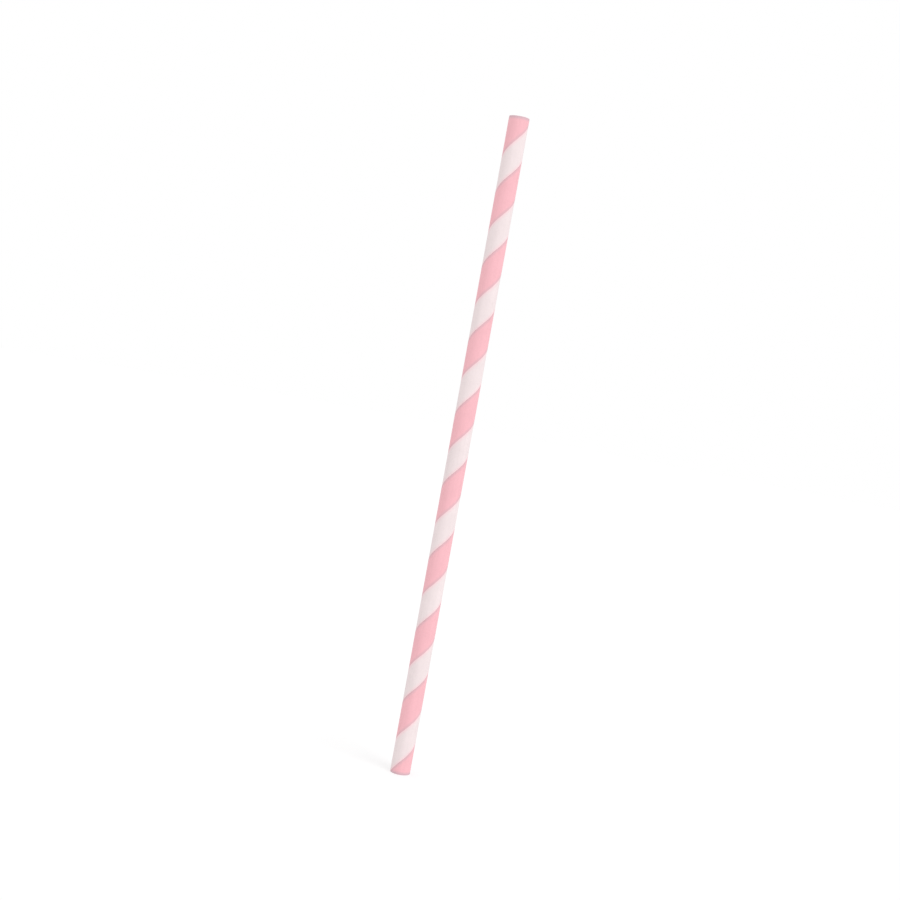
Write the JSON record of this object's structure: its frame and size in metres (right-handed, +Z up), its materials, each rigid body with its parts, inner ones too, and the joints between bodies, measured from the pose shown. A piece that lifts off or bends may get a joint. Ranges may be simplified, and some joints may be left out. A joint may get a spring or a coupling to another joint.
{
  "type": "paper drinking straw",
  "caption": "Straight paper drinking straw: an open round tube wound from glued paper strip, with spiral pink and white bands.",
  "frame": {"origin": "centre of the lower cut end, on the surface that the straw stands on", "axes": "+Z up along the straw to its head, -Y to the front that the picture shows, +X to the right of that view"},
  "size_m": [0.006, 0.006, 0.195],
  "materials": {
    "printed_paper": "matte"
  },
  "bodies": {
    "root": {"straw": "printed_paper"}
  },
  "joints": []
}
